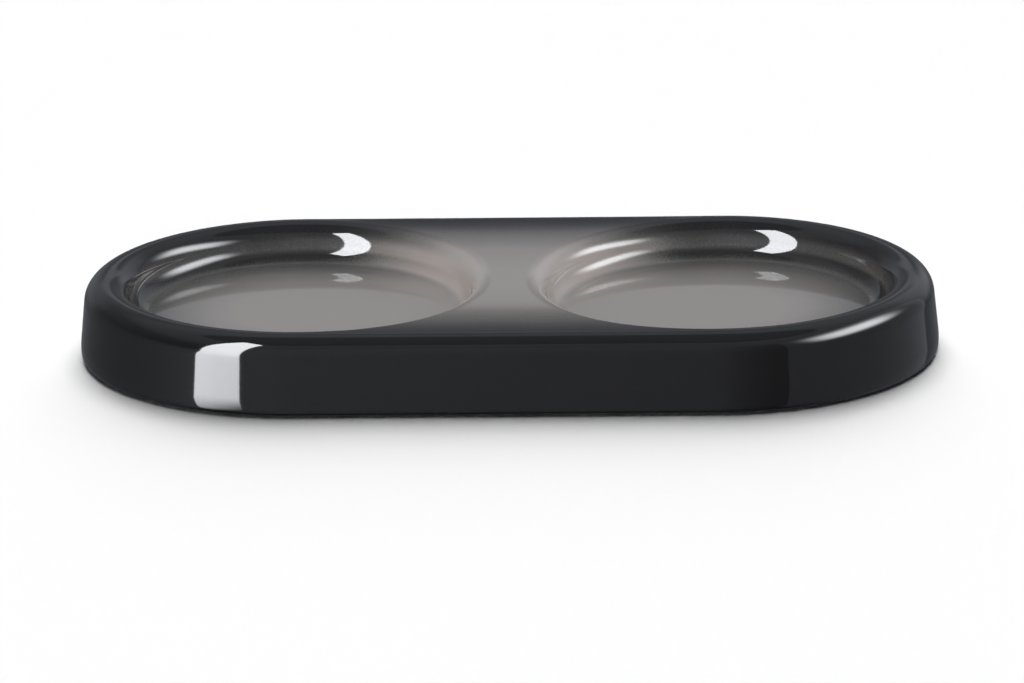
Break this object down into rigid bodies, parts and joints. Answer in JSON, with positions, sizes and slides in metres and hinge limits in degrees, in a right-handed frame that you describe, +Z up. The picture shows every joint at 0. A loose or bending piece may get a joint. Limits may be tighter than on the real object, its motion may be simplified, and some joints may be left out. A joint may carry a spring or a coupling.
{
  "type": "pepper mill tray",
  "caption": "Low oblong glazed stoneware tray with rounded ends and round wells that hold table mills, standing on small silicone pads.",
  "frame": {"origin": "on the table under the middle of the tray, midway between the wells", "axes": "+X along the tray towards the right-hand well, +Y away from the front, +Z up"},
  "size_m": [0.1996, 0.1028, 0.0185],
  "materials": {
    "glazed_stoneware": "glossy near-black glaze that fades to warm grey towards the middle and the well floors",
    "silicone": "matt translucent grey"
  },
  "bodies": {
    "root": {"tray_body": "glazed_stoneware", "front_left_pad": "silicone", "front_right_pad": "silicone", "rear_left_pad": "silicone", "rear_right_pad": "silicone"}
  },
  "joints": []
}
